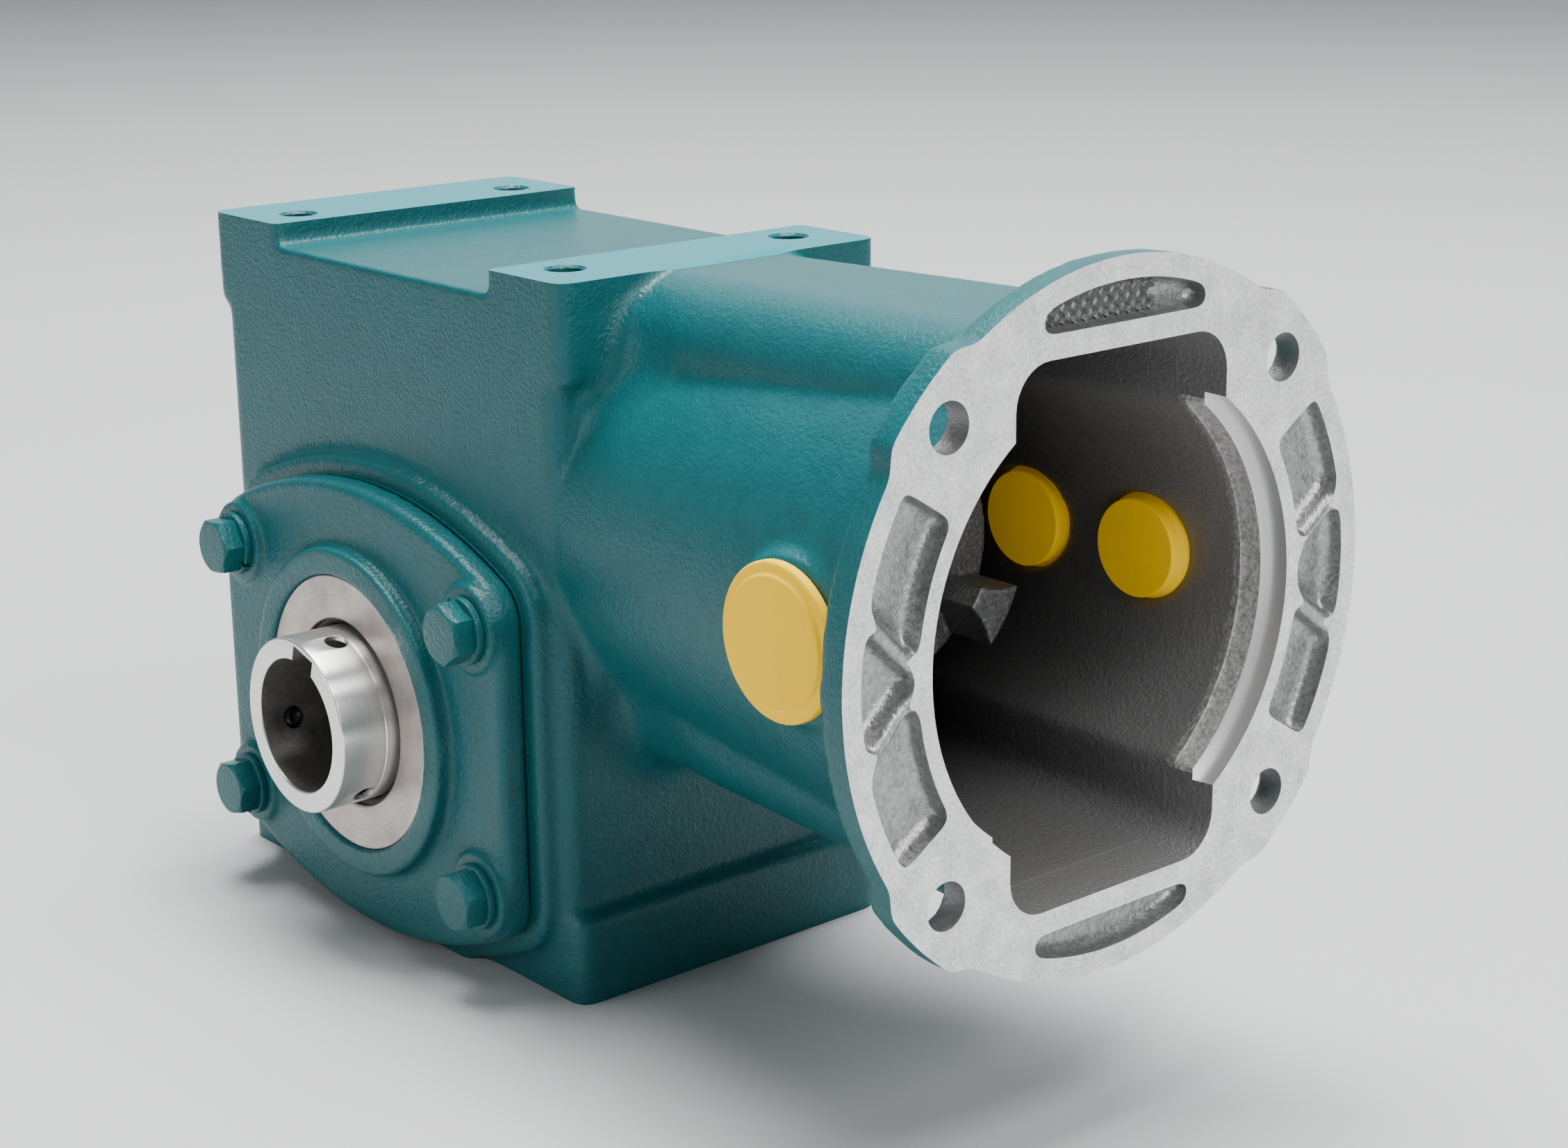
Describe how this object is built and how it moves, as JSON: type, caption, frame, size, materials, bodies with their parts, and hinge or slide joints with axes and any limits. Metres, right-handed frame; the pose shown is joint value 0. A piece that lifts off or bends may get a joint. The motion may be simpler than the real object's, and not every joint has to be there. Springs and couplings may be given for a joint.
{
  "type": "worm gear reducer",
  "caption": "Right-angle worm gear reducer with a flanged motor bell, a jaw coupling hub on the worm and a keyed hollow output shaft.",
  "frame": {"origin": "centre of the hollow output shaft", "axes": "+X along the worm towards the motor flange, +Y along the output shaft away from the bolted cover, +Z from the foot up to the worm"},
  "size_m": [0.3035, 0.168, 0.2065],
  "materials": {
    "case_paint": "gloss",
    "gasket_fibre": "matt",
    "zinc_bolt": "satin",
    "bearing_steel": "ground",
    "seal_case": "satin",
    "spring_steel": "oiled",
    "plug_plastic": "moulded",
    "plug_steel": "satin",
    "shaft_steel": "turned",
    "wheel_bronze": "machined",
    "coupling_iron": "sintered"
  },
  "bodies": {
    "case": {"housing": "case_paint", "output_cover": "case_paint", "cover_gasket": "gasket_fibre", "cover_bolts": "zinc_bolt", "near_output_bearing": "bearing_steel", "near_output_seal": "seal_case", "far_output_bearing": "bearing_steel", "far_output_seal": "seal_case", "front_worm_bearing": "bearing_steel", "rear_worm_bearing": "bearing_steel", "front_retaining_ring": "spring_steel", "input_seal": "seal_case", "near_access_plug": "plug_plastic", "far_access_plug_outer": "plug_plastic", "far_access_plug_inner": "plug_plastic", "oil_level_plug": "plug_steel", "oil_drain_plug": "plug_steel", "oil_fill_plug": "plug_steel"},
    "output": {"output_shaft": "shaft_steel", "wheel_key": "shaft_steel", "worm_wheel": "wheel_bronze"},
    "worm": {"worm_shaft": "shaft_steel", "coupling_hub": "coupling_iron", "coupling_key": "shaft_steel"}
  },
  "joints": [
    {"name": "output_spin", "type": "hinge", "parent": "case", "child": "output", "pos_m": [0, 0, 0], "axis": [0, 1, 0], "continuous": true},
    {"name": "worm_spin", "type": "hinge", "parent": "case", "child": "worm", "pos_m": [0, 0, 0.06032], "axis": [1, 0, 0], "continuous": true}
  ],
  "couplings": [
    {"joint": "worm_spin", "follows": "output_spin", "ratio": -30}
  ]
}
